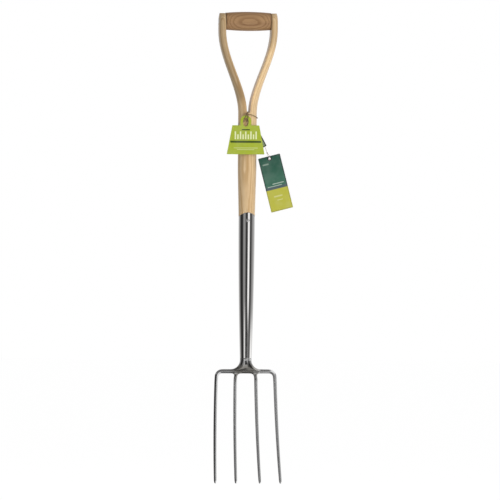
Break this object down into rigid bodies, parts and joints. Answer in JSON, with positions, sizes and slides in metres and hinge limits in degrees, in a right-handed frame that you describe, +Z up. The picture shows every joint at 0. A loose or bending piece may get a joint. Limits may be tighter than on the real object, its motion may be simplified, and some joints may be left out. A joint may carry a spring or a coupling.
{
  "type": "border fork",
  "caption": "Hand border fork: split wooden D-handle shaft, tapered steel socket and a dished head with square tines, with card tags hung on twine at its throat.",
  "frame": {"origin": "middle of the hand grip's underside, where the fork hangs on a peg", "axes": "+Z up the shaft towards the grip, tines down; the front faces -Y, the side the tines dish towards; +X to the right seen from the front"},
  "size_m": [0.1641, 0.073, 0.9723],
  "materials": {
    "ash": "waxed straight-grained ash",
    "grip_wood": "waxed, darker than the shaft",
    "zinc": "zinc plated",
    "polished_steel": "mirror polished stainless steel",
    "tine_steel": "polished stainless steel with a satin sheen",
    "twine": "brown jute twine",
    "clear_cord": "clear nylon",
    "lime_card": "satin printed card",
    "green_card": "satin printed card",
    "grey_card": "printed card"
  },
  "bodies": {
    "fork": {"ash_shaft": "ash", "hand_grip": "grip_wood", "grip_rod": "zinc", "grip_washer_left": "zinc", "grip_washer_right": "zinc", "throat_rivet": "zinc", "throat_washer_left": "zinc", "throat_washer_right": "zinc", "socket": "polished_steel", "socket_rivet": "polished_steel", "socket_rivet_washer": "polished_steel", "neck_weld": "polished_steel", "shoulder": "polished_steel", "outer_tine_bow": "tine_steel", "inner_tine_left": "tine_steel", "inner_tine_right": "tine_steel", "twine_binding": "twine", "twine_knot": "twine"},
    "weight_tag": {"weight_tag": "lime_card", "tag_twine": "twine"},
    "tag_cord": {"tag_cord": "clear_cord"},
    "care_card": {"care_card": "grey_card"},
    "swing_tag": {"swing_tag": "green_card"}
  },
  "joints": [
    {"name": "weight_tag_swing", "type": "hinge", "parent": "fork", "child": "weight_tag", "pos_m": [-0.004, -0.0236, -0.1713], "axis": [-1, 0, 0], "range_deg": [0, 100]},
    {"name": "tag_cord_swing", "type": "hinge", "parent": "fork", "child": "tag_cord", "pos_m": [-0.004, -0.0236, -0.1713], "axis": [0, 1, 0], "range_deg": [-12, 30]},
    {"name": "care_card_turn", "type": "hinge", "parent": "tag_cord", "child": "care_card", "pos_m": [0.005, -0.0209, -0.2058], "axis": [0, 1, 0], "range_deg": [-25, 30]},
    {"name": "swing_tag_turn", "type": "hinge", "parent": "tag_cord", "child": "swing_tag", "pos_m": [0.0436, -0.02255, -0.2633], "axis": [0, 1, 0], "range_deg": [-20, 30]}
  ]
}
